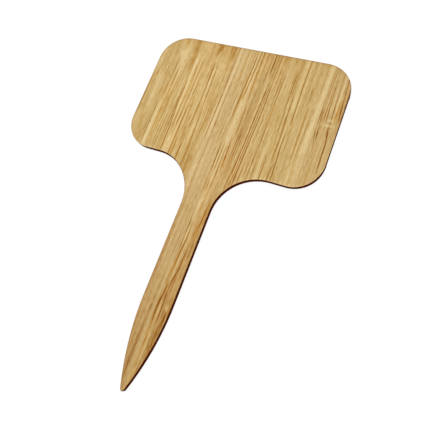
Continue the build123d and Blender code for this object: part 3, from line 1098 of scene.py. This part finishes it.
def bamboo_material():
    """Fine-sanded bare bamboo: its streaks and fibres darken it along a colour ramp, warm streaks
    turn it golden and rosy stretches pinker, and beside the laser's cut it is toasted."""
    material, tree, shader = new_material("sanded_bamboo", {"Specular IOR Level": 0.06})
    fibres = placed(tree, bamboo_fibre, Fibre=2.8, Pores=0.4)
    colour = toned(tree, worked(tree, "ADD", mark_of(tree, "darkness"), fibres["Shade"]))
    colour = shifted(tree, colour, "warmth", WARMER_TONE)
    colour = shifted(tree, colour, "rosiness", ROSIER_TONE)
    toast = placed(tree, laser_toast, Depth=mark_of(tree, "depth"), Reach=BAMBOO_TOAST_REACH,
                   Smoke=mark_of(tree, "smoke"))["Toast"]
    toasted = worked(tree, "MULTIPLY", toast, MOST_TOASTED)
    tree.links.new(blended(tree, toasted, colour, TOAST_TONE), shader["Base Color"])
    rough = worked(tree, "MULTIPLY_ADD", fibres["Shade"], 0.12, 0.55)
    tree.links.new(rough, shader["Roughness"])
    tree.links.new(bumped(tree, fibres["Height"], 0.35, 0.03), shader["Normal"])
    return material


def burnt_material():
    """The laser's cut: charred red-brown, striped across the board where the beam stepped on,
    and a little lighter where hard fibres run."""
    even_values = {"Roughness": 0.95, "Specular IOR Level": 0.0}
    material, tree, shader = new_material("laser_burnt_edge", even_values)
    steps = noise(tree, BEAM_STEP, detail=3.0, place=31.0)
    fibres = placed(tree, bamboo_fibre, Fibre=0.6, Pores=0.4)
    both = worked(tree, "MULTIPLY_ADD", fibres["Shade"], -0.5, steps)
    colour = blended(tree, share_of(tree, both, *STEP_LEVELS), CHAR_TONE, LIGHT_CHAR_TONE)
    tree.links.new(colour, shader["Base Color"])
    tree.links.new(bumped(tree, both, 0.5, 0.05), shader["Normal"])
    return material


def glue_material():
    """Cured wood glue, sanded flush: honey brown, clearer in some stretches and darker in others,
    and toasted all along the cut."""
    even_values = {"Roughness": 0.5, "Specular IOR Level": 0.15}
    material, tree, shader = new_material("cured_glue", even_values)
    clear = share_of(tree, noise(tree, CLEAR_STRETCH, detail=2.0, place=17.0), *CLEAR_LEVELS)
    honey = blended(tree, clear, GLUE_TONE, CLEAR_GLUE_TONE)
    darkened = blended(tree, mark_of(tree, "darkness"), honey, DARK_GLUE_TONE)
    toast = placed(tree, laser_toast, Depth=mark_of(tree, "depth"), Reach=GLUE_TOAST_REACH,
                   Smoke=1.0)["Toast"]
    tree.links.new(blended(tree, toast, darkened, TOAST_TONE), shader["Base Color"])
    return material


sanded_bamboo = bamboo_material()
burnt_edge = burnt_material()
cured_glue = glue_material()

# The strips

FIRST_SEED = 100
FRONT_STRAYS = {"count": 80, "strongest": 0.35, "widest": 0.25, "longest": 50.0}
BACK_STRAYS = {"count": 110, "strongest": 0.9, "widest": 0.6, "longest": 45.0}
FIBRE_RELIEF = 0.012      # how far the softest, darkest fibres are sanded below the hardest
RELIEF_CONTRAST = 0.35    # how much of that each step of darkness takes
RIM_HIGHLIGHT = 2.4        # a painted highlight: how much paler the rims that face the tip are painted, less where there is smoke
HIGHLIGHT_REACH = 0.2          # and how deep inside the outline that reaches
LEAN_START = 25.0         # how far across the head's right wall starts to lean in at its back
MOST_LEAN = 0.08          # and how far in it leans


def relief(darkness):
    """How far a face is sanded down: half the relief at the middle tone, and more where it is
    darker."""
    return FIBRE_RELIEF * np.clip(0.5 + RELIEF_CONTRAST * darkness, 0.0, 1.0)


def sanded_strip(place, streaks, seed):
    """A bamboo strip. Its front has its own streaks and faint stray ones, gets darker towards the
    tip, and has a painted highlight on the rims that face the tip, weaker where there is smoke. Its
    back has stray streaks alone, and lies a little further in along the head's right wall, which so
    leans."""
    low_corner, high_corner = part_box(f"bamboo_strip_{place}")
    left, right = low_corner.x / MM, high_corner.x / MM
    grid = stem_strip_grid if place.endswith("_1") else head_strip_grid
    across, height = grid(left, right)
    depth, way_out, smoke, charred = beside_the_cut(across, height)
    random = np.random.default_rng(seed)
    front_streaks = streaks + stray_streaks(random, left, right, **FRONT_STRAYS)
    back_streaks = stray_streaks(random, left, right, **BACK_STRAYS)
    front = inked(across, height, front_streaks, STRIP_SHADES[place])
    back = inked(across, height, back_streaks, STRIP_SHADES[place])
    towards_tip = np.clip(-height / stem_length, 0.0, 1.0)
    # Painted highlight: the rims that face the tip are painted paler, less where there is smoke
    rim_highlight = np.maximum(1.0 - smoke, 0.0) * squarely_facing(way_out, DOWN)
    front[0] += TIP_DARKENING * towards_tip - RIM_HIGHLIGHT * rim_highlight * np.exp(-depth / HIGHLIGHT_REACH)
    towards_side = eased((across - LEAN_START) / (half_head - LEAN_START))
    lean = MOST_LEAN * squarely_facing(way_out, RIGHT) * towards_side
    marks = dict(zip(("darkness", "warmth", "rosiness"), zip(front, back)))
    return plate_object(
        f"sanded_strip_{place}",
        (across, height, board_thickness - arris_drop(depth) - relief(front[0])),
        (across - lean, height, arris_drop(depth) + relief(back[0])),
        marks | {"depth": (depth, depth), "smoke": (smoke, smoke)},
        charred,
        [sanded_bamboo, burnt_edge],
    )


for number, (place, streaks) in enumerate(STREAKS.items()):
    strip = sanded_strip(place, streaks, FIRST_SEED + number)
    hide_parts(f"bamboo_strip_{place}")
    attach(strip, "root")

# The glue lines

FILM_LINES = 3            # lines along the grain in a film's grid
GLUE_SINK = 0.004         # how far the glue shrank below the faces

# Stretches where a glue line shows darkest: where it starts, where it ends, and how dark
DARK_GLUE = {
    "left_3": (3.0, 25.0, 0.9),
    "right_4": (8.0, 38.0, 0.6),
    "left_4": (2.0, 12.0, 0.5),
    "right_1": (30.0, 39.0, 0.8),
}
NOT_DARK = (0.0, 1.0, 0.0)


def glue_film(place):
    """A film of glue between two strips, which shrank below both faces."""
    low_corner, high_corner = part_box(f"glue_line_{place}")
    lines = np.linspace(low_corner.x / MM, high_corner.x / MM, FILM_LINES)
    across, height = grid_along(lines)
    depth, _, _, charred = beside_the_cut(across, height)
    start, end, darkest = DARK_GLUE.get(place, NOT_DARK)
    darkness = darkest * stretch_cover(height, start, end, FADE_SHARE * (end - start))
    return plate_object(
        f"glue_film_{place}",
        (across, height, board_thickness - arris_drop(depth) - GLUE_SINK),
        (across, height, arris_drop(depth) + GLUE_SINK),
        {"darkness": (darkness, darkness), "depth": (depth, depth)},
        charred,
        [cured_glue, burnt_edge],
    )


for place in [name.removeprefix("glue_line_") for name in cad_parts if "glue_line" in name]:
    film = glue_film(place)
    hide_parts(f"glue_line_{place}")
    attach(film, "root")

# Floor, light and camera, with their sizes and places in metres

WHITE = (1.0, 1.0, 1.0, 1.0)
FLOOR_SIZE = 4.0
FLOOR_DROP = 0.00002
FLOOR_ALBEDO = 0.12       # with its own glow it is white, and shadows on it stay faint
FLOOR_GLOW = 0.92


def floor_object():
    """A wide pale floor just under the label, seen through from below."""
    half = FLOOR_SIZE / 2
    corners = [(-half, -half), (half, -half), (half, half), (-half, half)]
    mesh = bpy.data.meshes.new("floor")
    mesh.from_pydata([(x, y, -FLOOR_DROP) for x, y in corners], [], [(0, 1, 2, 3)])
    material = bpy.data.materials.new("pale_floor")
    material.use_nodes = True
    tree = material.node_tree
    tree.nodes.clear()
    pale = node(tree, "ShaderNodeBsdfDiffuse", {"Color": [FLOOR_ALBEDO] * 3 + [1.0]}).outputs[0]
    glow = node(tree, "ShaderNodeEmission", {"Color": WHITE, "Strength": FLOOR_GLOW}).outputs[0]
    lit = node(tree, "ShaderNodeAddShader", {0: pale, 1: glow}).outputs[0]
    clear = node(tree, "ShaderNodeBsdfTransparent", {"Color": WHITE}).outputs[0]
    below = node(tree, "ShaderNodeNewGeometry").outputs["Backfacing"]
    shown = node(tree, "ShaderNodeMixShader", {0: below, 1: lit, 2: clear}).outputs[0]
    node(tree, "ShaderNodeOutputMaterial", {"Surface": shown})
    mesh.materials.append(material)
    floor = bpy.data.objects.new("floor", mesh)
    bpy.context.scene.collection.objects.link(floor)


SKY_LIGHT = 0.72
KEY_LIGHT = 1.5
KEY_SIZE = 0.5
KEY_PLACE = Vector((-0.22, 0.3, 0.6))


def studio_light():
    """An even white sky that lights the label softly and shows as plain white, and a broad lamp
    above it to the left."""
    world = bpy.data.worlds.new("studio")
    world.use_nodes = True
    tree = world.node_tree
    tree.nodes.clear()
    ray = node(tree, "ShaderNodeLightPath").outputs
    seen = worked(tree, "MAXIMUM", ray["Is Camera Ray"], ray["Is Glossy Ray"])
    seen = worked(tree, "MAXIMUM", seen, ray["Is Transmission Ray"])
    strength = worked(tree, "MULTIPLY_ADD", seen, 1.0 - SKY_LIGHT, SKY_LIGHT)
    sky = node(tree, "ShaderNodeBackground", {"Color": WHITE, "Strength": strength}).outputs[0]
    node(tree, "ShaderNodeOutputWorld", {"Surface": sky})
    bpy.context.scene.world = world
    lamp = bpy.data.lights.new("key", "AREA")
    lamp.size = KEY_SIZE
    lamp.energy = KEY_LIGHT
    key = bpy.data.objects.new("key", lamp)
    key.location = KEY_PLACE
    key.rotation_mode = "QUATERNION"
    key.rotation_quaternion = (-KEY_PLACE).to_track_quat("-Z", "Y")
    bpy.context.scene.collection.objects.link(key)


CAMERA_PLACE = Vector((47.28, -21.46, 119.0)) * MM
CAMERA_AIM = Vector((3.81, 5.98, 1.5)) * MM
CAMERA_TURN = math.radians(21.7)    # how far left of the label's length the picture's up points
LENS = 39.2                         # its focal length and the sensor's width, both in millimetres
SENSOR = 36.0
PICTURE_SIZE = 430                  # in pixels, as are the next two
CENTRE_COLUMN = 215.5               # where in the picture the lens looks straight at
CENTRE_ROW = 190.5
CLIP_START = 0.005
CLIP_END = 20.0


def photo_camera():
    """A camera that looks down on the label from the right, as in the photograph."""
    data = bpy.data.cameras.new("camera")
    data.lens = LENS
    data.sensor_width = SENSOR
    data.shift_x = 0.5 - CENTRE_COLUMN / PICTURE_SIZE
    data.shift_y = CENTRE_ROW / PICTURE_SIZE - 0.5
    data.clip_start = CLIP_START
    data.clip_end = CLIP_END
    camera = bpy.data.objects.new("camera", data)
    back = (CAMERA_PLACE - CAMERA_AIM).normalized()
    picture_up = Vector((-math.sin(CAMERA_TURN), math.cos(CAMERA_TURN), 0.0))
    right = picture_up.cross(back).normalized()
    turned = Matrix((right, back.cross(right), back)).transposed().to_4x4()
    camera.matrix_world = Matrix.Translation(CAMERA_PLACE) @ turned
    bpy.context.scene.collection.objects.link(camera)
    bpy.context.scene.camera = camera


floor_object()
studio_light()
photo_camera()
bpy.context.scene.view_settings.view_transform = "Standard"
